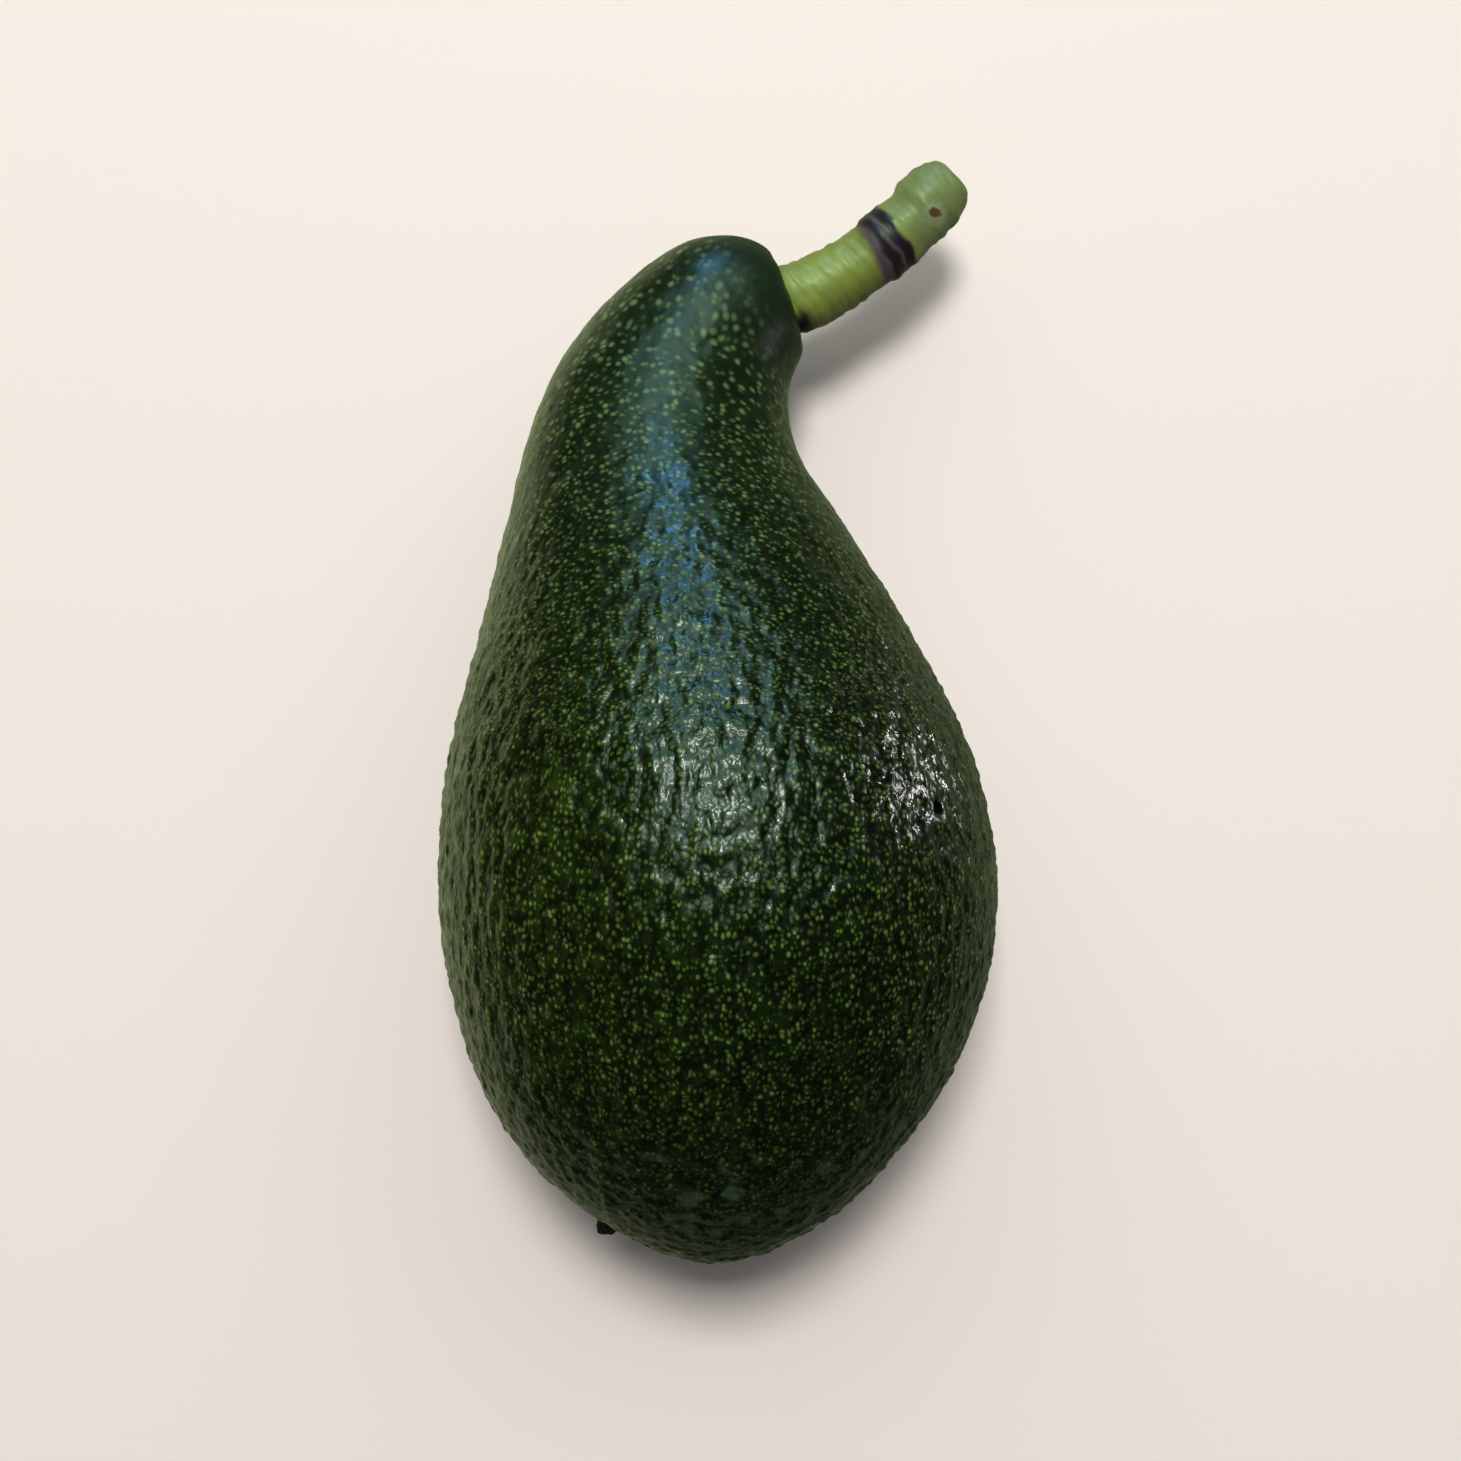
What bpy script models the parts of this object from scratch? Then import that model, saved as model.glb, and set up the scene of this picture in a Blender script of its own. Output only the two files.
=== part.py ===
"""A fresh avocado, as picked, lying on its side with its stalk still on.

The fruit is a pear shape with a long neck that curls over towards the stalk. It is a loft: upright oval
sections stand across it from the blossom end to the end of the neck, and smooth curves run through them.
The stalk is a second loft, which stands in a shallow seat in the end of the neck.

Frame: metres, +Z up, +Y from the blossom end towards the neck. The origin is the middle of the small flat
spot that the fruit lies on.
"""

import math
from typing import NamedTuple

import bmesh
import bpy
import numpy as np
from mathutils import Matrix, Vector

MM = 0.001

# Driving dimensions
ROUNDNESS = 0.96  # height of a fruit section over its width
FLAT_DEPTH = 0.5  # how much of the underside is pressed flat where it lies, in millimetres
STALK_WIDTH = 9.2  # the stalk where it leaves the fruit, in millimetres
GAP = 0.3 * MM  # clearance between the stalk and its seat

SEAT_REACH = 8.0 * MM  # length of the pocket's cutter, which runs out past the end of the neck

# Fineness
FRUIT_SIDES = 48
FRUIT_STEP = 3.4  # between lofted sections, along the outline, in millimetres
STALK_SIDES = 28
STALK_STEP = 0.9
NO_WIDTH = 0.01  # a section narrower than this is the point that closes a rounded end


class Section(NamedTuple):
    """One upright oval of a loft: its middle and half width in millimetres, and its heading in degrees.

    A heading of 0 faces +Y and 90 faces +X.
    """

    x: float
    y: float
    z: float
    half: float
    heading: float


FRUIT = (
    Section(0.8, -53.6, 35.0, 0.0, 0),  # blossom end
    Section(0.6, -49.7, 34.8, 11.3, 0),
    Section(0.3, -44.9, 34.5, 17.9, 0),
    Section(0.3, -35.3, 34.0, 26.1, 0),
    Section(1.0, -22.0, 33.3, 32.0, 0),
    Section(1.0, -6.2, 32.5, 34.0, 0),  # belly
    Section(0.3, 6.2, 31.3, 32.4, 0),
    Section(-1.4, 20.7, 28.7, 27.5, 0),
    Section(-4.1, 35.8, 25.6, 21.4, 0),
    Section(-6.1, 45.9, 23.4, 17.2, 1),  # neck
    Section(-5.6, 52.3, 22.1, 15.5, 4),
    Section(-3.4, 57.6, 21.2, 13.9, 13),
    Section(0.7, 62.9, 20.8, 11.8, 28),
    Section(4.8, 66.2, 20.8, 10.2, 44),
    Section(8.3, 67.0, 20.5, 7.9, 60),
    Section(10.7, 66.9, 20.4, 4.6, 66),
    Section(11.4, 66.9, 20.4, 0.0, 66),  # end of the neck
)

STALK = (
    Section(8.9, 65.0, 20.2, 4.1, 64),  # foot, in the seat
    Section(10.4, 65.5, 20.2, 4.6, 64),
    Section(12.7, 66.4, 20.2, 4.5, 60),
    Section(16.5, 68.5, 20.1, 4.3, 58),
    Section(20.4, 71.1, 20.0, 4.1, 55),
    Section(21.8, 72.2, 20.0, 4.5, 54),  # ring, first lip
    Section(22.6, 72.9, 20.0, 4.3, 53),
    Section(23.4, 73.6, 20.0, 4.5, 52),  # ring, second lip
    Section(24.9, 74.9, 20.0, 4.1, 52),
    Section(27.1, 77.3, 20.0, 4.5, 50),  # stub of twig
    Section(29.2, 79.3, 20.0, 4.2, 49),
    Section(31.0, 81.2, 20.0, 2.8, 48),  # cut end
)

# The dried tip at the blossom end
TIP_AT = Vector((-11.3, -48.0, 30.0)) * MM
TIP_AXIS = Vector((-0.42, -0.88, -0.22))
TIP_WIDTH = 4.6 * MM
TIP_POINT_WIDTH = 2.0 * MM
TIP_LENGTH = 5.0 * MM
TIP_SIDES = 14


def clear_scene():
    """Remove every object that is already in the file."""
    for thing in list(bpy.data.objects):
        bpy.data.objects.remove(thing, do_unlink=True)


def finish(name, colour, roughness):
    """A plain surface of one colour."""
    material = bpy.data.materials.new(name)
    material.use_nodes = True
    shader = material.node_tree.nodes["Principled BSDF"]
    shader.inputs["Base Color"].default_value = (*colour, 1.0)
    shader.inputs["Roughness"].default_value = roughness
    shader.inputs["Metallic"].default_value = 0.0
    return material


def add_object(name, bm, material):
    """Turn a bmesh into a smooth-shaded object of its own."""
    bmesh.ops.recalc_face_normals(bm, faces=bm.faces)
    mesh = bpy.data.meshes.new(name)
    bm.to_mesh(mesh)
    bm.free()
    mesh.shade_smooth()
    mesh.materials.append(material)
    thing = bpy.data.objects.new(name, mesh)
    bpy.context.scene.collection.objects.link(thing)
    return thing


def smooth_stations(sections, step):
    """Sections at even steps along a smooth curve through the given ones.

    The curve is a cubic in all five numbers at once. An end section with no width is a rounded end: its
    neighbour, repeated on the far side with its width turned over, makes the curve cross the middle line
    squarely there.
    """
    rows = [sections[0], *sections, sections[-1]]
    if sections[0].half == 0:
        rows[0] = sections[1]._replace(half=-sections[1].half)
    if sections[-1].half == 0:
        rows[-1] = sections[-2]._replace(half=-sections[-2].half)
    rounded = np.array([sections[0].half == 0, sections[-1].half == 0])
    rows = np.array(rows[0 if rounded[0] else 1:None if rounded[1] else -1], dtype=float)
    lengths = np.linalg.norm(np.diff(rows[:, :4], axis=0), axis=1)
    knots = np.concatenate(([0.0], np.cumsum(lengths)))
    slopes = np.gradient(rows, knots, axis=0)
    first = int(rounded[0])
    last = len(rows) - 1 - int(rounded[1])
    count = round((knots[last] - knots[first]) / step)
    stations = []
    for place in np.linspace(knots[first], knots[last], count + 1):
        span = min(int(np.searchsorted(knots, place, side="right")) - 1, last - 1)
        width = knots[span + 1] - knots[span]
        t = (place - knots[span]) / width
        row = (2 * t**3 - 3 * t**2 + 1) * rows[span] + (3 * t**2 - 2 * t**3) * rows[span + 1]
        row += (t**3 - 2 * t**2 + t) * width * slopes[span] + (t**3 - t**2) * width * slopes[span + 1]
        stations.append(Section(*row.tolist()))
    return stations


def lowered(stations, drop):
    """The same stations, that many millimetres lower."""
    return [station._replace(z=station.z - drop) for station in stations]


def ring(bm, section, sides, roundness):
    """The edges of one upright oval, standing across its heading."""
    middle = Vector((section.x, section.y, section.z)) * MM
    heading = Matrix.Rotation(-math.radians(section.heading), 4, "Z")
    upright = Matrix.Rotation(math.radians(90), 4, "X")
    size = Matrix.Diagonal((section.half * MM, section.half * roundness * MM, 1.0, 1.0))
    place = Matrix.Translation(middle) @ heading @ upright @ size
    made = bmesh.ops.create_circle(bm, cap_ends=False, radius=1.0, segments=sides, matrix=place)
    return list({edge for vertex in made["verts"] for edge in vertex.link_edges})


def close_end(bm, edges, section):
    """Close an open end with a fan of faces that meet at the section's middle."""
    cap = bmesh.ops.contextual_create(bm, geom=edges)["faces"]
    hub = bmesh.ops.poke(bm, faces=cap)["verts"][0]
    hub.co = Vector((section.x, section.y, section.z)) * MM


def loft(stations, sides, roundness=1.0):
    """A closed skin through the stations."""
    bm = bmesh.new()
    loops = [ring(bm, station, sides, roundness) for station in stations if station.half > NO_WIDTH]
    for near, far in zip(loops, loops[1:]):
        bmesh.ops.bridge_loops(bm, edges=near + far)
    close_end(bm, loops[0], stations[0])
    close_end(bm, loops[-1], stations[-1])
    return bm


def press_flat(bm):
    """Slice the underside off at ground level, so that the fruit lies on a small flat spot."""
    sliced = bmesh.ops.bisect_plane(
        bm,
        geom=[*bm.verts, *bm.edges, *bm.faces],
        plane_co=(0.0, 0.0, 0.0),
        plane_no=(0.0, 0.0, -1.0),
        clear_outer=True,
    )
    rim = [part for part in sliced["geom_cut"] if isinstance(part, bmesh.types.BMEdge)]
    bmesh.ops.contextual_create(bm, geom=rim)


def apply_boolean(target, other, operation):
    """Join or cut a solid with another one, which stays in the file as a hidden guide."""
    change = target.modifiers.new(other.name, "BOOLEAN")
    change.operation = operation
    change.solver = "EXACT"
    change.object = other
    other.hide_render = True
    other.display_type = "WIRE"


def dried_tip(material):
    """The small blunt cone that is left of the flower, standing out of the blossom end."""
    bm = bmesh.new()
    turn = TIP_AXIS.to_track_quat("Z", "Y").to_matrix().to_4x4()
    bmesh.ops.create_cone(
        bm,
        cap_ends=True,
        segments=TIP_SIDES,
        radius1=TIP_WIDTH / 2,
        radius2=TIP_POINT_WIDTH / 2,
        depth=TIP_LENGTH,
        matrix=Matrix.Translation(TIP_AT) @ turn,
    )
    return add_object("dried_tip_guide", bm, material)


def stalk_seat(foot, material):
    """The round pocket in the end of the neck, wider than the stalk and deeper than its foot by the gap."""
    bm = bmesh.new()
    heading = Matrix.Rotation(-math.radians(foot.heading), 4, "Z")
    forward = Matrix.Rotation(math.radians(-90), 4, "X")
    shift = Matrix.Translation((0.0, 0.0, SEAT_REACH / 2 - GAP))
    bmesh.ops.create_cone(
        bm,
        cap_ends=True,
        segments=STALK_SIDES,
        radius1=STALK_WIDTH / 2 * MM + GAP,
        radius2=STALK_WIDTH / 2 * MM + GAP,
        depth=SEAT_REACH,
        matrix=Matrix.Translation(Vector((foot.x, foot.y, foot.z)) * MM) @ heading @ forward @ shift,
    )
    return add_object("stalk_seat_guide", bm, material)


def build():
    """Make the fruit and its stalk, standing on the ground together."""
    clear_scene()
    skin = finish("green_skin", (0.020, 0.062, 0.014), 0.38)
    bark = finish("stalk_green", (0.20, 0.33, 0.06), 0.48)
    body = smooth_stations(FRUIT, FRUIT_STEP)
    lowest = min(station.z - station.half * ROUNDNESS for station in body)
    drop = lowest + FLAT_DEPTH
    stalk = lowered(smooth_stations(STALK, STALK_STEP), drop)
    bm = loft(lowered(body, drop), FRUIT_SIDES, ROUNDNESS)
    press_flat(bm)
    fruit = add_object("fruit", bm, skin)
    apply_boolean(fruit, dried_tip(skin), "UNION")
    apply_boolean(fruit, stalk_seat(stalk[0], skin), "DIFFERENCE")
    add_object("stem", loft(stalk, STALK_SIDES), bark)


build()
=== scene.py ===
"""The looks of a fresh avocado with its stalk: pebbled skin, dried blossom tip, stalk, table and light.

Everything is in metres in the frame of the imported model: +Z up, +Y from the blossom end towards the neck.
Patterns are worked out in millimetres, because that is the scale of what shows on the skin.
"""

import logging
import math
from dataclasses import dataclass, field
from enum import Enum
from functools import partial, reduce

import bmesh
import bpy
import numpy as np
from mathutils import Matrix, Vector
from mathutils.bvhtree import BVHTree


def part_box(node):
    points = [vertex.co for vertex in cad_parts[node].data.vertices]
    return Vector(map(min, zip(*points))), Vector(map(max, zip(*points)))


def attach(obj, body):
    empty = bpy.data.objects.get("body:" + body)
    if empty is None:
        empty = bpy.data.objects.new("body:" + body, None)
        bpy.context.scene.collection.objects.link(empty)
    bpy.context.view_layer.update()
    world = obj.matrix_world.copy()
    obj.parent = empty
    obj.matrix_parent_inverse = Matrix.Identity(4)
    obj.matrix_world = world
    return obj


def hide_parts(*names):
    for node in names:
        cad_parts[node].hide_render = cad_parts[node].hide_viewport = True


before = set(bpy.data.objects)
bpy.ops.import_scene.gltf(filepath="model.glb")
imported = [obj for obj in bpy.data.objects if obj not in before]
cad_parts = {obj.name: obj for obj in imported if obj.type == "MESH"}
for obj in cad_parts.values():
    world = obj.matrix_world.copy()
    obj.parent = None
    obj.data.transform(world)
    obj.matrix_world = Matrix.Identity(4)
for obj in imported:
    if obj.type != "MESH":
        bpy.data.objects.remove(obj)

LOG = logging.getLogger("avocado")
MM = 0.001

PIT_RADIUS = 1.0  # of the small black pit in the skin, in millimetres
HIGH_ABOVE = 200.0  # a height over everything, in millimetres

Colour = tuple[float, float, float]
Triple = tuple[float, float, float]
Socket = bpy.types.NodeSocket
Value = float | Colour | Socket | Vector


class Slot(Enum):
    """The names of the skin's and the stalk's materials."""

    SKIN = "green_skin"
    STALK = "stalk_green"


class Reach(Enum):
    """What a light is for: lighting the surfaces, or being seen in their gloss."""

    SHADE = "shade"
    GLOSS = "gloss"


class Bench:
    """Places and links nodes in one tree, of a shader or of geometry alike."""

    MIX_SHARE, MIX_FIRST, MIX_SECOND, MIX_RESULT = 0, 6, 7, 2  # the Mix node's own sockets for colours

    def __init__(self, tree: bpy.types.NodeTree) -> None:
        """Work on a node tree."""
        self.tree = tree

    def add(self, kind: str, **settings: object) -> bpy.types.Node:
        """Place a node.

        Args:
            kind: The node's type.
            settings: Its properties by name.

        Returns:
            The new node.
        """
        node = self.tree.nodes.new(kind)
        for name, value in settings.items():
            setattr(node, name, value)
        return node

    def feed(self, socket: Socket, value: Value) -> None:
        """Link a socket to another, or set it to a plain value.

        Args:
            socket: The input.
            value: An output socket, a number, a colour or a vector.
        """
        if isinstance(value, Socket):
            self.tree.links.new(value, socket)
        elif socket.type == "RGBA":
            socket.default_value = (*value, 1.0)
        else:
            socket.default_value = value

    def math(self, operation: str, *values: Value) -> Socket:
        """One step of arithmetic on numbers.

        Args:
            operation: The Math node's operation.
            values: Its inputs in order.

        Returns:
            The result.
        """
        node = self.add("ShaderNodeMath", operation=operation)
        for socket, value in zip(node.inputs, values):
            self.feed(socket, value)
        return node.outputs[0]

    def times(self, *values: Value) -> Socket:
        """The product of two or more numbers."""
        return reduce(partial(self.math, "MULTIPLY"), values)

    def plus(self, *values: Value) -> Socket:
        """The sum of two or more numbers."""
        return reduce(partial(self.math, "ADD"), values)

    def less(self, first: Value, second: Value) -> Socket:
        """The first number less the second."""
        return self.math("SUBTRACT", first, second)

    def rest(self, share: Value) -> Socket:
        """What a share leaves of one."""
        return self.less(1.0, share)

    def vector(self, operation: str, *values: Value) -> Socket:
        """One step of arithmetic on vectors.

        Args:
            operation: The Vector Math node's operation.
            values: Its inputs in order; a number goes to the scale input.

        Returns:
            The result, a number for a distance or a dot product.
        """
        node = self.add("ShaderNodeVectorMath", operation=operation)
        slots = [node.inputs[0], node.inputs["Scale"]] if operation == "SCALE" else node.inputs
        for socket, value in zip(slots, values):
            self.feed(socket, value)
        return node.outputs["Value" if operation in {"DISTANCE", "DOT_PRODUCT"} else "Vector"]

    def parts(self, vector: Value) -> list[Socket]:
        """Take a vector apart.

        Args:
            vector: The vector.

        Returns:
            Its three numbers.
        """
        node = self.add("ShaderNodeSeparateXYZ")
        self.feed(node.inputs[0], vector)
        return list(node.outputs)

    def joined(self, x: Value, y: Value, z: Value) -> Socket:
        """Put a vector together.

        Args:
            x: Its first number.
            y: Its second number.
            z: Its third number.

        Returns:
            The vector.
        """
        node = self.add("ShaderNodeCombineXYZ")
        for socket, value in zip(node.inputs, (x, y, z)):
            self.feed(socket, value)
        return node.outputs[0]

    def step(self, value: Value, start: Value, end: Value, low: float = 0.0, high: float = 1.0) -> Socket:
        """A smooth change from low to high as a value goes from start to end.

        Args:
            value: What is read.
            start: Where the change starts; it may be above end.
            end: Where the change ends.
            low: The result at the start.
            high: The result at the end.

        Returns:
            The result.
        """
        node = self.add("ShaderNodeMapRange", interpolation_type="SMOOTHSTEP")
        names = ("Value", "From Min", "From Max", "To Min", "To Max")
        for name, given in zip(names, (value, start, end, low, high)):
            self.feed(node.inputs[name], given)
        return node.outputs[0]

    def hills(self, place: Value, size: float, detail: float, rough: float = 0.5) -> bpy.types.Node:
        """A node of soft random hills.

        Args:
            place: The position read.
            size: The width of a hill, in the position's units.
            detail: Octaves of finer hills.
            rough: How strong the finer hills are.

        Returns:
            The node.
        """
        node = self.add("ShaderNodeTexNoise", noise_dimensions="3D")
        self.feed(node.inputs["Vector"], place)
        node.inputs["Scale"].default_value = 1.0 / size
        node.inputs["Detail"].default_value = detail
        node.inputs["Roughness"].default_value = rough
        return node

    def noise(self, place: Value, size: float, detail: float = 2.0, rough: float = 0.5) -> Socket:
        """The height of soft random hills, from 0 to 1."""
        return self.hills(place, size, detail, rough).outputs[0]

    def noise_vector(self, place: Value, size: float) -> Socket:
        """A soft random vector with parts from 0 to 1, for bending a pattern."""
        return self.hills(place, size, 1.0).outputs["Color"]

    def cells(self, place: Value, size: float, scatter: float) -> tuple[Socket, Socket]:
        """Random cells.

        Args:
            place: The position read.
            size: The cells' mean width, in the position's units.
            scatter: How unevenly the cells lie, from 0 to 1.

        Returns:
            The distance to the nearest cell's middle in cell widths, and that cell's own random number.
        """
        node = self.add("ShaderNodeTexVoronoi", voronoi_dimensions="3D", feature="F1")
        self.feed(node.inputs["Vector"], place)
        node.inputs["Scale"].default_value = 1.0 / size
        node.inputs["Randomness"].default_value = scatter
        return node.outputs["Distance"], self.parts(node.outputs["Color"])[0]

    def mix(self, share: Value, first: Value, second: Value) -> Socket:
        """Mix two colours.

        Args:
            share: How much of the second one is in the mix, from 0 to 1.
            first: The first colour.
            second: The second colour.

        Returns:
            The colour between them.
        """
        node = self.add("ShaderNodeMix", data_type="RGBA", clamp_factor=True)
        self.feed(node.inputs[self.MIX_SHARE], share)
        self.feed(node.inputs[self.MIX_FIRST], first)
        self.feed(node.inputs[self.MIX_SECOND], second)
        return node.outputs[self.MIX_RESULT]


@dataclass(frozen=True)
class SkinAt:
    """What the skin is like at a place, each from 0 to 1.

    A dot and the low bump under it share a chance of their own. The knobs, the wrinkles and the swells are
    ever larger shapes of the surface. The last three say how far along the neck the place is, how far into
    the smooth stretch at the stalk, and how much of the fine relief is left there on the neck.
    """

    dot: Socket
    chance: Socket
    bump: Socket
    knob: Socket
    wrinkle: Socket
    swell: Socket
    neck: Socket
    smooth: Socket
    relief: Socket


@dataclass(frozen=True)
class SkinPattern:
    """Where the skin's dots, bumps and wrinkles lie, the same for the shape and for the colour.

    Sizes are in millimetres, but for the dots' radius in cell widths and their length in widths. The dots
    stand closer on the belly than on the neck, and the last stretch before the stalk is smooth.
    """

    dot_cell: float = 0.60
    dot_radius: float = 0.45
    dot_length: float = 1.25
    knob_cell: float = 1.45
    scatter: float = 0.9
    bend_size: float = 2.6
    wrinkle_size: Triple = (1.6, 3.2, 1.6)
    swell_size: float = 9.0
    neck_start: float = 10.0
    neck_end: float = 58.0
    neck_shrink: float = 0.50
    neck_relief: float = 0.28
    smooth_middle: Triple = (10.5, 66.5, 21.0)
    smooth_reach: float = 17.0

    def spread_out(self, bench: Bench, place: Value) -> tuple[Socket, Socket]:
        """Stretch the pattern along the neck, evenly in all directions.

        Args:
            bench: The node tree to use.
            place: The position on the fruit, in millimetres.

        Returns:
            The position in the stretched pattern, and how far along the neck the place is.
        """
        x, y, z = bench.parts(place)
        span = self.neck_end - self.neck_start
        share = bench.math("DIVIDE", bench.less(y, self.neck_start), span)
        neck = bench.math("MINIMUM", bench.math("MAXIMUM", share, 0.0), 1.0)
        size = bench.rest(bench.times(neck, self.neck_shrink))
        beyond = bench.math("MAXIMUM", bench.less(share, 1.0), 0.0)
        saved = bench.plus(bench.times(neck, neck, 0.5), beyond)
        along = bench.less(y, bench.times(saved, span * self.neck_shrink))
        along = bench.math("DIVIDE", along, self.dot_length)
        return bench.joined(bench.times(x, size), along, bench.times(z, size)), neck

    def lay(self, bench: Bench, place: Value) -> SkinAt:
        """Work the pattern out at a place.

        Args:
            bench: The node tree to use.
            place: The position on the fruit, in millimetres.

        Returns:
            What the skin is like there.
        """
        even, neck = self.spread_out(bench, place)
        bent = bench.vector("ADD", even, bench.noise_vector(even, self.bend_size))
        distance, chance = bench.cells(bent, self.dot_cell, self.scatter)
        radius = bench.step(chance, 0.0, 1.0, self.dot_radius * 0.75, self.dot_radius * 1.15)
        from_knob, _ = bench.cells(bent, self.knob_cell, self.scatter)
        from_stalk = bench.vector("DISTANCE", place, self.smooth_middle)
        return SkinAt(
            dot=bench.step(distance, bench.times(radius, 1.1), bench.times(radius, 0.15)),
            chance=chance,
            bump=bench.step(distance, 0.75, 0.0),
            knob=bench.step(from_knob, 0.70, 0.0),
            wrinkle=bench.noise(bench.vector("DIVIDE", place, self.wrinkle_size), 1.0, 1.0),
            swell=bench.noise(place, self.swell_size, 1.0),
            neck=neck,
            smooth=bench.step(from_stalk, self.smooth_reach, self.smooth_reach / 2),
            relief=bench.step(neck, 0.0, 0.8, 1.0, self.neck_relief),
        )


def shown(name: str, mesh: bpy.types.Mesh) -> bpy.types.Object:
    """Put a mesh in the scene.

    Args:
        name: The object's name.
        mesh: Its mesh.

    Returns:
        The object, at the origin.
    """
    thing = bpy.data.objects.new(name, mesh)
    bpy.context.scene.collection.objects.link(thing)
    return thing


def dressed(name: str, mesh: bpy.types.Mesh, material: bpy.types.Material) -> bpy.types.Object:
    """Put a mesh in the scene, all in one material.

    Args:
        name: The object's name.
        mesh: Its mesh.
        material: The material.

    Returns:
        The object, at the origin.
    """
    mesh.materials.clear()
    mesh.materials.append(material)
    return shown(name, mesh)


def settled(thing: bpy.types.Object) -> bpy.types.Mesh:
    """An object's mesh with its modifiers applied; the object is removed.

    Args:
        thing: The object with live modifiers.

    Returns:
        The finished mesh, smooth shaded.
    """
    graph = bpy.context.evaluated_depsgraph_get()
    mesh = bpy.data.meshes.new_from_object(thing.evaluated_get(graph), depsgraph=graph)
    bpy.data.objects.remove(thing, do_unlink=True)
    mesh.shade_smooth()
    return mesh


def mesh_of(name: str, bm: bmesh.types.BMesh) -> bpy.types.Mesh:
    """Turn a bmesh into a mesh, and free it.

    Args:
        name: The mesh's name.
        bm: The bmesh.

    Returns:
        The new mesh.
    """
    mesh = bpy.data.meshes.new(name)
    bm.to_mesh(mesh)
    bm.free()
    return mesh


def quads_of(node: str) -> bpy.types.Mesh:
    """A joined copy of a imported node's mesh, with its triangles paired into four-sided faces.

    Args:
        node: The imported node's name.

    Returns:
        The new mesh.
    """
    bm = bmesh.new()
    bm.from_mesh(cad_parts[node].data)
    bmesh.ops.remove_doubles(bm, verts=bm.verts, dist=0.01 * MM)
    bmesh.ops.join_triangles(
        bm,
        faces=bm.faces,
        angle_face_threshold=math.radians(40),
        angle_shape_threshold=math.radians(60),
    )
    return mesh_of(f"{node}_quads", bm)


def smooth_out(bm: bmesh.types.BMesh, verts: list[bmesh.types.BMVert], passes: int) -> None:
    """Even out a part of a surface.

    Args:
        bm: The surface.
        verts: The vertices that may move.
        passes: How many times it is done.
    """
    for _ in range(passes):
        bmesh.ops.smooth_vert(
            bm, verts=verts, factor=0.5, use_axis_x=True, use_axis_y=True, use_axis_z=True
        )


def subdivide(thing: bpy.types.Object, levels: int) -> None:
    """Round an object off with a Subdivision Surface.

    Args:
        thing: The object.
        levels: How many times its faces are split.
    """
    rounding = thing.modifiers.new("rounding", "SUBSURF")
    rounding.levels = levels
    rounding.render_levels = levels


def voxel_skin(thing: bpy.types.Object, size: float) -> None:
    """Cover an object with an even skin of square faces.

    Args:
        thing: The object.
        size: The faces' width, in metres.
    """
    even = thing.modifiers.new("even_skin", "REMESH")
    even.mode = "VOXEL"
    even.voxel_size = size
    even.use_smooth_shade = True


class Relief:
    """A geometry node tree under construction, which moves a surface along its normals."""

    def __init__(self, name: str) -> None:
        """Start a relief.

        Args:
            name: The tree's name.
        """
        tree = bpy.data.node_groups.new(name, "GeometryNodeTree")
        for way in ("INPUT", "OUTPUT"):
            tree.interface.new_socket("Geometry", in_out=way, socket_type="NodeSocketGeometry")
        self.bench = Bench(tree)
        start = self.bench.add("NodeGroupInput")
        end = self.bench.add("NodeGroupOutput")
        self.move = self.bench.add("GeometryNodeSetPosition")
        self.bench.feed(self.move.inputs["Geometry"], start.outputs[0])
        self.bench.feed(end.inputs[0], self.move.outputs[0])
        place = self.bench.add("GeometryNodeInputPosition").outputs[0]
        self.place = self.bench.vector("SCALE", place, 1 / MM)

    def lift(self, height: Value) -> None:
        """Raise the surface.

        Args:
            height: How far it moves along its normal, in millimetres.
        """
        normal = self.bench.add("GeometryNodeInputNormal").outputs[0]
        offset = self.bench.vector("SCALE", normal, self.bench.times(height, MM))
        self.bench.feed(self.move.inputs["Offset"], offset)

    def press_on(self, thing: bpy.types.Object) -> None:
        """Give an object the relief."""
        thing.modifiers.new("relief", "NODES").node_group = self.bench.tree


class Finish:
    """A material under construction: its tree, its shader and the place on the object in millimetres."""

    def __init__(self, name: str) -> None:
        """Start a material.

        Args:
            name: The material's name.
        """
        self.material = bpy.data.materials.new(name)
        self.material.use_nodes = True
        self.bench = Bench(self.material.node_tree)
        self.shader = self.material.node_tree.nodes["Principled BSDF"]
        place = self.bench.add("ShaderNodeTexCoord").outputs["Object"]
        self.place = self.bench.vector("SCALE", place, 1 / MM)

    def set(self, name: str, value: Value) -> None:
        """Set or link one of the shader's inputs."""
        self.bench.feed(self.shader.inputs[name], value)

    def emboss(self, height: Value, strength: float = 1.0) -> None:
        """Shade the surface as if it had a height in millimetres.

        Args:
            height: The height.
            strength: The share of it that is shaded.
        """
        bump = self.bench.add("ShaderNodeBump")
        bump.inputs["Distance"].default_value = MM
        bump.inputs["Strength"].default_value = strength
        self.bench.feed(bump.inputs["Height"], height)
        self.set("Normal", bump.outputs[0])


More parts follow.
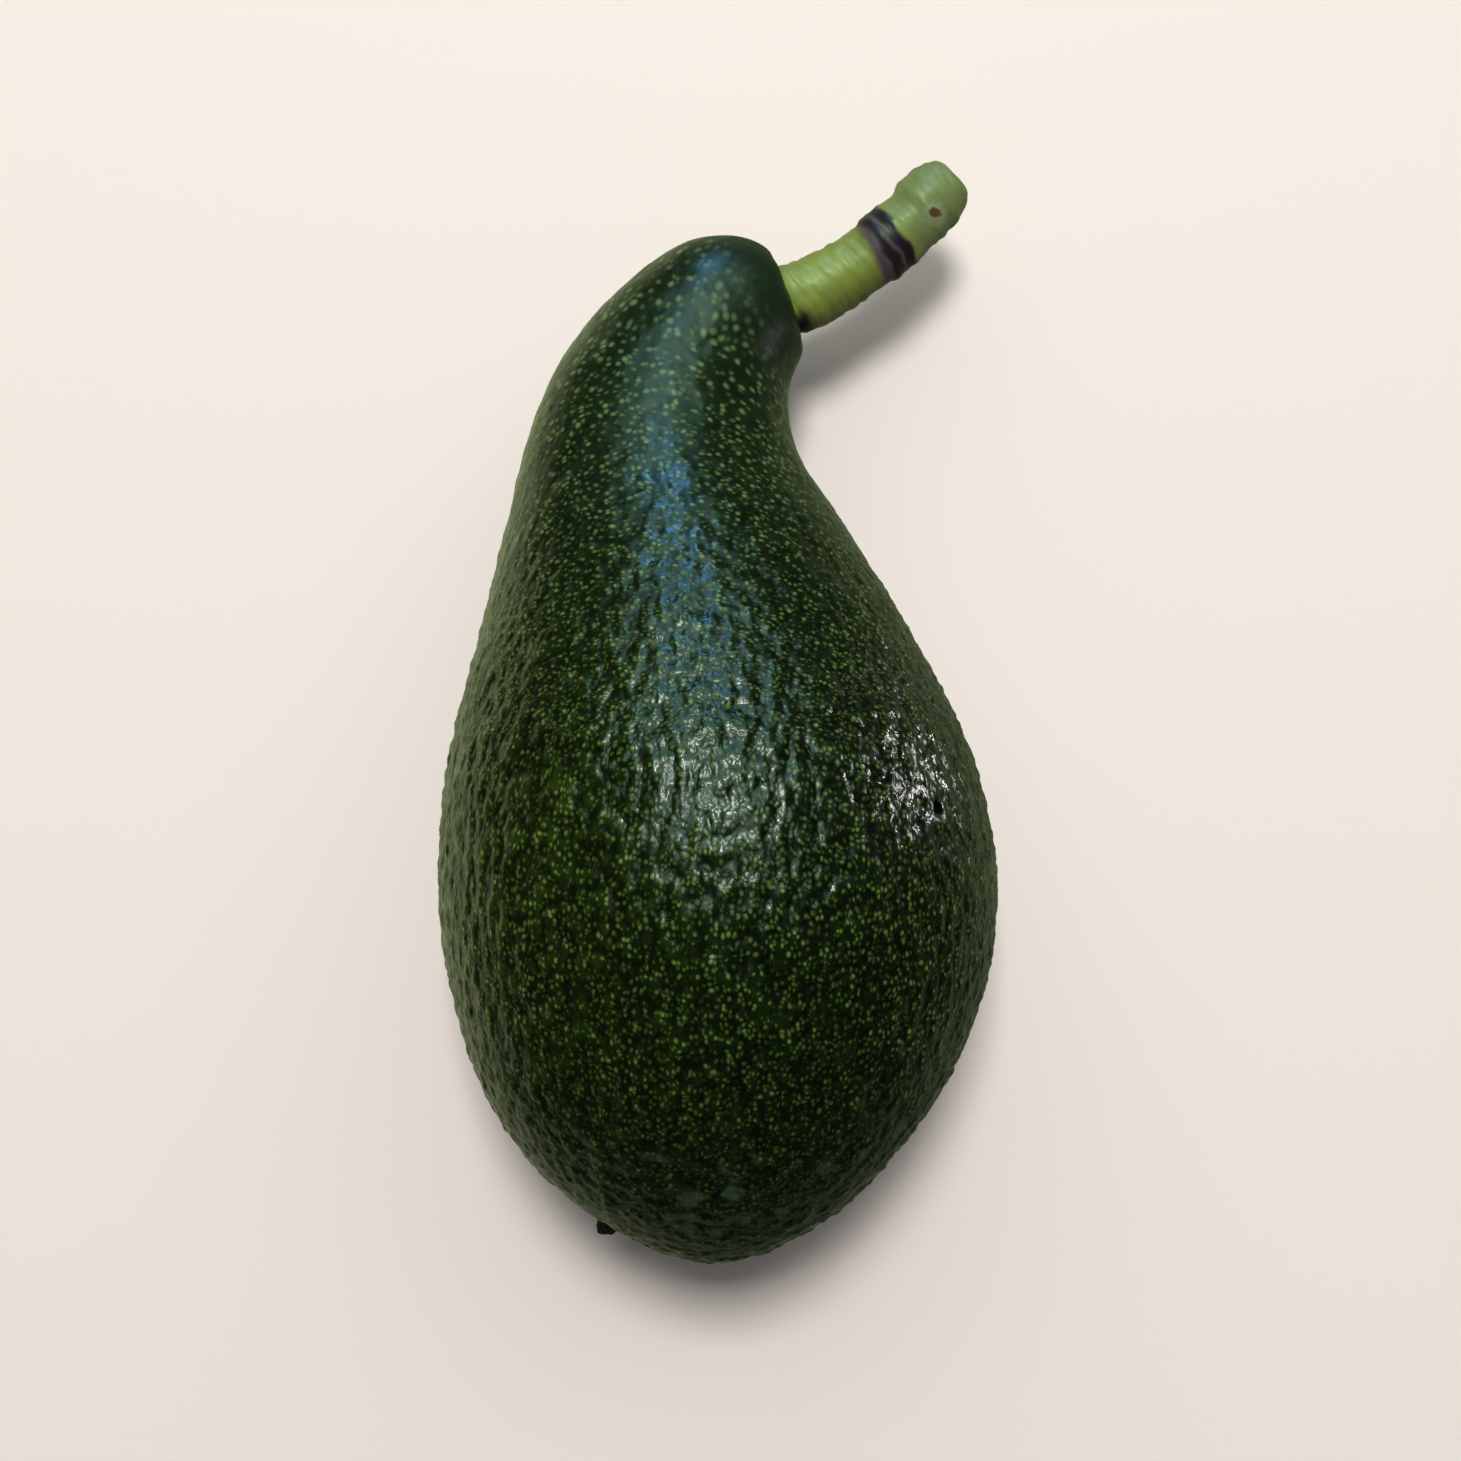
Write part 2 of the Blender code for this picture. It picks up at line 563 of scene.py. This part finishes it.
@dataclass(frozen=True)
class SkinFinish:
    """The rind: near-black green between yellow-green dots, waxy, and lighter and yellower on the left of the
    belly.

    The hollows between its wrinkles and knobs are darkened with painted shade, and the dots on the ridges are
    a little brightened with painted light; its blunt end is scuffed, and painted shade dims its dots there.
    Sizes are in millimetres.
    """

    pattern: SkinPattern
    pit: Vector
    deep: Colour = (0.0022, 0.0070, 0.0010)
    leaf: Colour = (0.0100, 0.0240, 0.0030)
    # a lighter, yellower green for the left of the belly
    left_belly_yellow: Colour = (0.0220, 0.0420, 0.0010)
    neck_green: Colour = (0.0070, 0.0190, 0.0065)
    # painted shade for the hollows between the wrinkles and knobs
    painted_gap_shade: Colour = (0.0008, 0.0022, 0.0003)
    scuff: Colour = (0.034, 0.060, 0.028)
    dot_green: Colour = (0.100, 0.186, 0.022)
    dot_pale: Colour = (0.130, 0.210, 0.050)
    dot_neck: Colour = (0.095, 0.160, 0.070)
    pit_black: Colour = (0.002, 0.002, 0.002)
    patch_size: float = 13.0
    mottle_size: float = 2.4
    scuff_size: float = 3.6
    gloss_size: float = 1.6
    roughness: float = 0.22
    bump_height: float = 0.036
    wrinkle_height: float = 0.35

    def hollow_shade(self, bench: Bench, skin: SkinAt) -> Socket:
        """How much painted shade a place gets: more the deeper it lies between the wrinkles and knobs.

        Args:
            bench: The node tree to use.
            skin: What the skin is like there.

        Returns:
            The painted shade's share, from 0 to 1 as the place lies deeper, which is 0 in the smooth stretch.
        """
        raised = bench.plus(bench.times(skin.wrinkle, 0.75), bench.times(skin.knob, 0.25))
        calm = bench.math("MAXIMUM", skin.smooth, bench.times(skin.neck, 0.7))
        return bench.times(bench.rest(bench.step(raised, 0.36, 0.62)), bench.rest(calm))

    def ground(self, bench: Bench, place: Value, skin: SkinAt, hollow_shade: Value) -> Socket:
        """The colour between the dots, with painted shade in the hollows.

        Args:
            bench: The node tree to use.
            place: The position, in millimetres.
            skin: What the skin is like there.
            hollow_shade: How deep the place is, from 0 to 1.

        Returns:
            The colour.
        """
        x, y, _ = bench.parts(place)
        mottle = bench.step(bench.noise(place, self.mottle_size, 2.0, 0.6), 0.35, 0.70)
        patches = bench.step(bench.noise(place, self.patch_size, 3.0, 0.6), 0.30, 0.75, 0.35, 1.0)
        # the left of the belly, which is made lighter and yellower
        left_belly = bench.times(bench.step(x, 8.0, -26.0), bench.step(y, 48.0, 6.0), bench.step(y, -50.0, -12.0))
        scuffs = bench.step(bench.noise(place, self.scuff_size), 0.56, 0.70, 0.0, 0.65)
        colour = bench.mix(bench.times(mottle, 0.35), self.deep, self.leaf)
        colour = bench.mix(bench.times(patches, left_belly, 0.8), colour, self.left_belly_yellow)
        colour = bench.mix(bench.times(skin.neck, 0.7), colour, self.neck_green)
        # painted shade, darkest in the deepest hollows
        colour = bench.mix(bench.times(hollow_shade, 0.85), colour, self.painted_gap_shade)
        colour = bench.mix(bench.times(skin.bump, bench.rest(skin.smooth), 0.06), colour, self.dot_green)
        return bench.mix(bench.times(scuffs, bench.step(y, -30.0, -42.0)), colour, self.scuff)

    def dots(self, bench: Bench, place: Value, skin: SkinAt, hollow_shade: Value) -> Socket:
        """How strongly the dots show, dimmed by painted shade in the hollows and towards the blunt end, and a
        little brightened by painted light on the ridges.

        Args:
            bench: The node tree to use.
            place: The position, in millimetres.
            skin: What the skin is like there.
            hollow_shade: How deep the place is, from 0 to 1.

        Returns:
            The dots' share in the colour.
        """
        own = bench.step(skin.chance, 0.0, 0.9, 0.36, 0.90)
        # painted shade: the dots fade towards the blunt end, which is turned away from the light
        blunt = bench.step(bench.parts(place)[1], -50.0, -8.0, 0.30, 1.0)
        # painted shade dims the dots in the hollows, and painted light brightens them a little on the ridges
        shaded = bench.less(1.15, bench.times(hollow_shade, 0.70))
        return bench.times(skin.dot, bench.rest(skin.smooth), own, blunt, shaded)

    def dot_colour(self, bench: Bench, skin: SkinAt) -> Socket:
        """The colour of the dots.

        Args:
            bench: The node tree to use.
            skin: What the skin is like at the place.

        Returns:
            The colour.
        """
        tint = bench.mix(bench.step(skin.chance, 0.3, 1.0), self.dot_green, self.dot_pale)
        return bench.mix(bench.times(skin.neck, 0.8), tint, self.dot_neck)

    def make(self) -> bpy.types.Material:
        """Build the material."""
        rind = Finish("green_skin")
        bench, place = rind.bench, rind.place
        skin = self.pattern.lay(bench, place)
        hollow_shade = self.hollow_shade(bench, skin)
        ground = self.ground(bench, place, skin, hollow_shade)
        colour = bench.mix(self.dots(bench, place, skin, hollow_shade), ground, self.dot_colour(bench, skin))
        from_pit = bench.vector("DISTANCE", place, self.pit / MM)
        in_pit = bench.step(from_pit, PIT_RADIUS, PIT_RADIUS * 0.75)
        rind.set("Base Color", bench.mix(in_pit, colour, self.pit_black))
        wax = bench.noise(place, self.gloss_size, 3.0, 0.6)
        uneven = bench.step(wax, 0.2, 0.8, self.roughness - 0.08, self.roughness + 0.12)
        rind.set("Roughness", bench.plus(uneven, bench.times(skin.smooth, 0.16)))
        rind.set("IOR", 1.45)
        rind.set("Specular IOR Level", bench.times(bench.rest(in_pit), 0.5))
        bump = bench.times(skin.bump, self.bump_height)
        wrinkle = bench.times(skin.wrinkle, self.wrinkle_height)
        flattened = bench.step(skin.smooth, 0.0, 1.0, 1.0, 0.12)
        rind.emboss(bench.times(bench.plus(bump, wrinkle), skin.relief, flattened))
        return rind.material


@dataclass
class Fruit:
    """The fruit itself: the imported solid's shape with the pebbled relief of the rind.

    Sizes are in millimetres, and the pit's place is seen from above.
    """

    pattern: SkinPattern = field(default_factory=SkinPattern)
    voxel: float = 1.15
    smoothing: int = 4
    wrinkle_height: float = 0.36
    knob_height: float = 0.26
    swell_height: float = 0.55
    least_relief: float = 0.06
    seat_middle: Triple = (9.6, 65.6, 19.8)
    seat_reach: float = 6.6
    seat_smoothing: int = 10
    pit_place: tuple[float, float] = (26.4, 2.1)
    pit_depth: float = 0.6

    def find_pit(self) -> Vector:
        """The point of the skin, in metres, that the small black pit is in."""
        tree = BVHTree.FromObject(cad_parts["fruit"], bpy.context.evaluated_depsgraph_get())
        above = Vector((*self.pit_place, HIGH_ABOVE)) * MM
        return tree.ray_cast(above, Vector((0.0, 0.0, -1.0)))[0]

    def even_skin(self) -> bpy.types.Object:
        """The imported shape, rounded, under an even skin, with the seat's rim softened into a dimple."""
        rough = shown("fruit_base", quads_of("fruit"))
        subdivide(rough, 2)
        voxel_skin(rough, self.voxel * MM)
        bm = bmesh.new()
        bm.from_mesh(settled(rough))
        smooth_out(bm, list(bm.verts), self.smoothing)
        seat = Vector(self.seat_middle) * MM
        near = [vertex for vertex in bm.verts if (vertex.co - seat).length < self.seat_reach * MM]
        smooth_out(bm, near, self.seat_smoothing)
        return shown("fruit_even", mesh_of("fruit_even", bm))

    def relief(self, pit: Vector) -> Relief:
        """The rind's knobs, wrinkles and swellings.

        Args:
            pit: Where the small black pit is, in metres.

        Returns:
            The relief.
        """
        relief = Relief("rind_relief")
        bench = relief.bench
        skin = self.pattern.lay(bench, relief.place)
        wrinkle = bench.times(bench.less(skin.wrinkle, 0.5), self.wrinkle_height)
        knob = bench.times(skin.knob, self.knob_height)
        rough = bench.math("MAXIMUM", bench.rest(skin.smooth), self.least_relief)
        fine = bench.times(bench.plus(wrinkle, knob), rough, skin.relief)
        swell = bench.times(bench.less(skin.swell, 0.5), self.swell_height)
        from_pit = bench.vector("DISTANCE", relief.place, pit / MM)
        hole = bench.step(from_pit, PIT_RADIUS, PIT_RADIUS * 0.3, 0.0, self.pit_depth)
        relief.lift(bench.less(bench.plus(fine, swell), hole))
        return relief

    @staticmethod
    def keep_above_table(mesh: bpy.types.Mesh) -> None:
        """Flatten what the relief has pushed below the table top.

        Args:
            mesh: The fruit's mesh.
        """
        places = np.zeros(len(mesh.vertices) * 3, np.float32)
        mesh.vertices.foreach_get("co", places)
        places[2::3] = np.maximum(places[2::3], 0.0)
        mesh.vertices.foreach_set("co", places)

    def build(self) -> bpy.types.Object:
        """Make the rind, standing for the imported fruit."""
        pit = self.find_pit()
        base = self.even_skin()
        subdivide(base, 1)
        self.relief(pit).press_on(base)
        mesh = settled(base)
        self.keep_above_table(mesh)
        skin = dressed("rind", mesh, SkinFinish(self.pattern, pit).make())
        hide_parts("fruit")
        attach(skin, "root")
        return skin


@dataclass(frozen=True)
class StalkLine:
    """The straight line that the stalk follows most closely: its foot and its direction."""

    foot: Vector
    direction: Vector

    @classmethod
    def of_node(cls, node: str) -> "StalkLine":
        """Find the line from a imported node's vertices.

        Args:
            node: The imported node's name.

        Returns:
            The line, from the fruit outwards.
        """
        points = np.array([vertex.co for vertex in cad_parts[node].data.vertices])
        middle = points.mean(axis=0)
        direction = np.linalg.svd(points - middle, full_matrices=False)[2][0]
        direction = direction * np.sign(direction[0])
        along = (points - middle) @ direction
        return cls(Vector(middle + direction * along.min()), Vector(direction))

    def places(self, bench: Bench, place: Value) -> list[Socket]:
        """Distances along, across and up from the stalk's foot, in millimetres.

        Args:
            bench: The node tree to use.
            place: The position, in millimetres.

        Returns:
            The three numbers.
        """
        side = Vector((self.direction.y, -self.direction.x, 0.0)).normalized()
        up = self.direction.cross(side) * -1.0
        from_foot = bench.vector("SUBTRACT", place, self.foot / MM)
        return [bench.vector("DOT_PRODUCT", from_foot, axis) for axis in (self.direction, side, up)]


@dataclass(frozen=True)
class StalkFinish:
    """Fresh green bark, with the purple-black ring where the stalk had joined its twig, painted shade in
    olive on the side turned away from the light, and painted shade in the seat at its foot.

    The ring, its two lips and the stub are placed by their distance from the stalk's foot, in millimetres,
    and the small scar on the stub by its place seen from above.
    """

    line: StalkLine
    light_green: Colour = (0.190, 0.265, 0.045)
    deep_green: Colour = (0.075, 0.105, 0.016)
    # painted shade for the side of the stalk turned away from the light
    painted_shade_olive: Colour = (0.110, 0.122, 0.018)
    stub_grey: Colour = (0.125, 0.180, 0.075)
    # the ring's own dark colour, also used as painted shade in the seat at the stalk's foot
    dark_ring_and_seat_shade: Colour = (0.012, 0.007, 0.010)
    ring_lilac: Colour = (0.070, 0.048, 0.056)
    cut: Colour = (0.23, 0.26, 0.15)
    scar_brown: Colour = (0.075, 0.040, 0.018)
    ring_start: float = 13.0
    ring_end: float = 18.2
    ring_waver: float = 1.6
    ring_slant: float = 0.16
    lips: tuple[float, float] = (15.3, 17.1)
    stub_start: float = 17.0
    scar: Triple = (28.3, 75.7, 0.0)
    grain_width: float = 0.35
    grain_height: float = 0.05

    def ringed(self, bench: Bench, place: Value, colour: Value) -> Socket:
        """Lay the ring over the bark: lilac, with two dark lips.

        Args:
            bench: The node tree to use.
            place: The position, in millimetres.
            colour: The bark's colour.

        Returns:
            The colour with the ring.
        """
        along, across, _ = self.line.places(bench, place)
        waver = bench.times(bench.less(bench.noise(place, 3.0), 0.5), self.ring_waver)
        reach = bench.plus(along, waver)
        slanted = bench.plus(reach, bench.times(across, self.ring_slant))
        start = bench.step(slanted, self.ring_start, self.ring_start + 1.2)
        end = bench.step(reach, self.ring_end, self.ring_end - 0.8)
        colour = bench.mix(bench.times(start, end), colour, self.ring_lilac)
        near = [bench.step(bench.math("ABSOLUTE", bench.less(reach, lip)), 1.0, 0.4) for lip in self.lips]
        return bench.mix(bench.math("MAXIMUM", *near), colour, self.dark_ring_and_seat_shade)

    def scarred(self, bench: Bench, place: Value, colour: Value) -> Socket:
        """Lay the scar over the stub's upper side: a brown spot in a pale one.

        Args:
            bench: The node tree to use.
            place: The position, in millimetres.
            colour: The stub's colour.

        Returns:
            The colour with the scar.
        """
        up = self.line.places(bench, place)[2]
        flat = bench.vector("MULTIPLY", place, (1.0, 1.0, 0.0))
        under = bench.step(up, 0.0, -2.0, 0.0, 3.0)
        ragged = bench.step(bench.noise(place, 0.9), 0.3, 0.7, -0.25, 0.25)
        distance = bench.plus(bench.vector("DISTANCE", flat, self.scar), under, ragged)
        colour = bench.mix(bench.step(distance, 1.9, 1.0, 0.0, 0.6), colour, self.cut)
        return bench.mix(bench.step(distance, 0.85, 0.45), colour, self.scar_brown)

    def make(self) -> bpy.types.Material:
        """Build the material."""
        bark = Finish("stalk_green")
        bench = bark.bench
        along, across, up = self.line.places(bench, bark.place)
        tone = bench.step(bench.noise(bark.place, 3.5, 3.0, 0.6), 0.35, 0.7)
        dull = bench.mix(0.35, self.light_green, self.deep_green)
        colour = bench.mix(tone, self.light_green, dull)
        # painted shade on the side of the stalk turned away from the light
        colour = bench.mix(bench.step(across, 0.0, 3.8, 0.0, 0.7), colour, self.painted_shade_olive)
        on_stub = bench.step(along, self.stub_start, self.stub_start + 3.0, 0.0, 0.65)
        colour = bench.mix(on_stub, colour, self.stub_grey)
        colour = self.ringed(bench, bark.place, colour)
        colour = self.scarred(bench, bark.place, colour)
        # painted shade: a dark crescent at the stalk's foot, in the seat on its shaded side
        seat_shadow = bench.times(bench.step(along, 3.2, 1.6), bench.step(across, 0.5, 2.5))
        bark.set("Base Color", bench.mix(seat_shadow, colour, self.dark_ring_and_seat_shade))
        bark.set("Roughness", bench.step(tone, 0.0, 1.0, 0.40, 0.52))
        squeezed = bench.joined(bench.math("DIVIDE", along, self.grain_width), across, up)
        bark.emboss(bench.times(bench.noise(squeezed, 1.0, 2.0, 0.6), self.grain_height), 0.7)
        return bark.material


@dataclass
class Stalk:
    """The stalk, its ring and the stub of twig, with fine creases across it. Sizes are in millimetres."""

    crease_size: Triple = (1.2, 6.0, 6.0)
    crease_height: float = 0.62
    lump_size: float = 4.5
    lump_height: float = 0.45

    def relief(self, line: StalkLine) -> Relief:
        """The creases and lumps.

        Args:
            line: The line that the stalk follows.

        Returns:
            The relief.
        """
        relief = Relief("stalk_relief")
        bench = relief.bench
        along_line = bench.joined(*line.places(bench, relief.place))
        crease = bench.noise(bench.vector("DIVIDE", along_line, self.crease_size), 1.0, 1.0)
        crease = bench.times(bench.less(crease, 0.5), self.crease_height)
        lump = bench.less(bench.noise(relief.place, self.lump_size), 0.5)
        relief.lift(bench.plus(crease, bench.times(lump, self.lump_height)))
        return relief

    def build(self) -> bpy.types.Object:
        """Make the stalk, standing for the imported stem."""
        line = StalkLine.of_node("stem")
        base = shown("stalk_base", quads_of("stem"))
        subdivide(base, 2)
        self.relief(line).press_on(base)
        stalk = dressed("stalk", settled(base), StalkFinish(line).make())
        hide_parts("stem")
        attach(stalk, "root")
        return stalk


@dataclass
class BlossomTip:
    """The small dark corky point that is left of the flower, at the blunt end. Sizes are in millimetres."""

    middle: Triple = (-11.9, -48.8, 29.6)
    axis: Triple = (-0.42, -0.88, -0.22)
    foot_radius: float = 3.1
    point_radius: float = 1.1
    length: float = 6.4
    sides: int = 14
    ragged_size: float = 1.3
    ragged_height: float = 1.4
    cork: Colour = (0.010, 0.011, 0.006)
    pale: Colour = (0.060, 0.055, 0.030)

    def finish(self) -> bpy.types.Material:
        """Dull dark cork with paler flecks."""
        cork = Finish("dried_tip")
        bench = cork.bench
        flecks = bench.step(bench.noise(cork.place, 0.7, 3.0, 0.6), 0.55, 0.75)
        cork.set("Base Color", bench.mix(flecks, self.cork, self.pale))
        cork.set("Roughness", 0.75)
        cork.emboss(bench.times(flecks, 0.1))
        return cork.material

    def cone(self) -> bpy.types.Mesh:
        """The tip's plain shape."""
        bm = bmesh.new()
        turn = Vector(self.axis).to_track_quat("Z", "Y").to_matrix().to_4x4()
        bmesh.ops.create_cone(
            bm,
            cap_ends=True,
            segments=self.sides,
            radius1=self.foot_radius * MM,
            radius2=self.point_radius * MM,
            depth=self.length * MM,
            matrix=Matrix.Translation(Vector(self.middle) * MM) @ turn,
        )
        return mesh_of("blossom_tip", bm)

    def build(self) -> bpy.types.Object:
        """Make the tip, half sunk in the rind."""
        base = shown("blossom_tip_base", self.cone())
        subdivide(base, 4)
        relief = Relief("cork_relief")
        ragged = relief.bench.noise(relief.place, self.ragged_size, 3.0, 0.6)
        relief.lift(relief.bench.times(relief.bench.less(ragged, 0.5), self.ragged_height))
        relief.press_on(base)
        tip = dressed("blossom_tip", settled(base), self.finish())
        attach(tip, "root")
        return tip


@dataclass(frozen=True)
class SoftLight:
    """One panel of light that faces the fruit.

    Its bearing is counted from +Y towards +X and its height from the horizon, in degrees. Its width and depth
    are angles as seen from the fruit, its distance is in metres, and its spread is the angle that its light
    fans out in.
    """

    name: str
    bearing: float
    height: float
    width: float
    depth: float
    radiance: float
    colour: Colour
    reach: Reach
    distance: float = 1.6
    spread: float = 180.0

    def hang(self, aim: Vector) -> None:
        """Put the panel up.

        Args:
            aim: The point that it faces.
        """
        lamp = bpy.data.lights.new(self.name, "AREA")
        lamp.shape = "RECTANGLE"
        lamp.size = 2 * self.distance * math.tan(math.radians(self.width / 2))
        lamp.size_y = 2 * self.distance * math.tan(math.radians(self.depth / 2))
        lamp.energy = self.radiance * math.pi * lamp.size * lamp.size_y
        lamp.color = self.colour
        lamp.spread = math.radians(self.spread)
        panel = bpy.data.objects.new(self.name, lamp)
        bearing, height = math.radians(self.bearing), math.radians(self.height)
        direction = Vector(
            (math.sin(bearing) * math.cos(height), math.cos(bearing) * math.cos(height), math.sin(height))
        )
        panel.location = aim + direction * self.distance
        panel.rotation_euler = direction.to_track_quat("Z", "Y").to_euler()
        panel.visible_diffuse = self.reach is Reach.SHADE
        panel.visible_glossy = self.reach is Reach.GLOSS
        bpy.context.scene.collection.objects.link(panel)


@dataclass
class Studio:
    """A pale table, soft light and a camera that looks straight down.

    The eye and the width of the view, which is measured at view_depth below the eye, are in millimetres, and
    the table is in metres.
    """

    eye: Triple = (2.6, 10.8, 332.5)
    view_width: float = 178.2
    view_depth: float = 300.0
    table_size: float = 4.0
    table_pink: Colour = (0.81, 0.750, 0.705)
    backdrop: Colour = (0.85, 0.83, 0.81)
    shade: Colour = (0.10, 0.10, 0.10)
    dark: Colour = (0.03, 0.035, 0.03)
    glow: Colour = (0.20, 0.25, 0.13)
    glow_left: Colour = (0.56, 0.64, 0.34)
    lights: tuple[SoftLight, ...] = (
        SoftLight("key", -3.0, 71.0, 12.0, 12.0, 59.0, (1.0, 0.97, 0.94), Reach.SHADE),
        SoftLight("fill", 5.0, 48.0, 80.0, 50.0, 1.05, (1.0, 0.98, 0.96), Reach.SHADE),
        SoftLight("sheen", 0.0, 57.0, 44.0, 42.0, 2.0, (0.60, 1.0, 0.70), Reach.GLOSS),
        SoftLight("sky", 0.0, 30.0, 50.0, 24.0, 1.1, (0.45, 1.0, 0.88), Reach.GLOSS),
        SoftLight("glint", 1.0, 57.0, 7.0, 12.0, 38.0, (0.90, 1.0, 0.92), Reach.GLOSS),
        SoftLight("window", -3.0, 10.0, 10.0, 18.0, 8.5, (0.20, 0.56, 1.0), Reach.GLOSS),
        SoftLight("window_top", -1.0, 26.0, 7.0, 15.0, 2.9, (0.30, 0.74, 0.95), Reach.GLOSS),
        SoftLight("side", 72.0, 3.0, 3.5, 3.5, 12.0, (1.0, 1.0, 1.0), Reach.GLOSS, 0.15, 42.0),
    )

    def table(self) -> None:
        """Lay the plain pale table top, which the world's glow stands for in reflections."""
        bm = bmesh.new()
        bmesh.ops.create_grid(bm, x_segments=1, y_segments=1, size=self.table_size / 2)
        top = Finish("pale_table")
        top.set("Base Color", self.table_pink)
        top.set("Roughness", 0.6)
        table = dressed("table_top", mesh_of("table_top", bm), top.material)
        table.visible_glossy = False

    def world(self) -> None:
        """Make the surroundings: a pale backdrop, an even dim light for shade, and what the wax reflects.

        Reflections are almost dark above the horizon, where the lights are. Below it they glow as the table
        does, more towards -X and hardly at all towards -Y.
        """
        world = bpy.data.worlds.new("studio")
        world.use_nodes = True
        bpy.context.scene.world = world
        bench = Bench(world.node_tree)
        rays = bench.add("ShaderNodeLightPath")
        x, y, z = bench.parts(bench.add("ShaderNodeTexCoord").outputs["Generated"])
        low = bench.mix(bench.step(x, 0.3, -0.6), self.glow, self.glow_left)
        low = bench.mix(bench.step(y, 0.1, -0.8, 0.0, 0.75), low, self.dark)
        seen = bench.mix(bench.step(z, -0.05, -0.55), self.dark, low)
        colour = bench.mix(rays.outputs["Is Diffuse Ray"], seen, self.shade)
        colour = bench.mix(rays.outputs["Is Camera Ray"], colour, self.backdrop)
        bench.feed(world.node_tree.nodes["Background"].inputs["Color"], colour)

    def camera(self) -> None:
        """Put the camera over the fruit, with +Y at the top of its picture."""
        lens = bpy.data.cameras.new("camera")
        lens.sensor_width = 36.0
        lens.lens = lens.sensor_width * self.view_depth / self.view_width
        lens.clip_start = 0.01
        camera = bpy.data.objects.new("camera", lens)
        camera.location = Vector(self.eye) * MM
        bpy.context.scene.collection.objects.link(camera)
        bpy.context.scene.camera = camera

    def build(self) -> None:
        """Set everything up around the fruit."""
        low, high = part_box("fruit")
        middle = (low + high) / 2
        self.table()
        self.world()
        self.camera()
        for light in self.lights:
            light.hang(middle)
        settings = bpy.context.scene.view_settings
        settings.view_transform = "Standard"
        settings.look = "None"


def main() -> None:
    logging.basicConfig(level=logging.INFO)
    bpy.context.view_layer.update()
    Studio().build()
    for part in (Fruit(), Stalk(), BlossomTip()):
        piece = part.build()
        LOG.info("%s: %d faces", piece.name, len(piece.data.polygons))


if __name__ == "__main__":
    main()
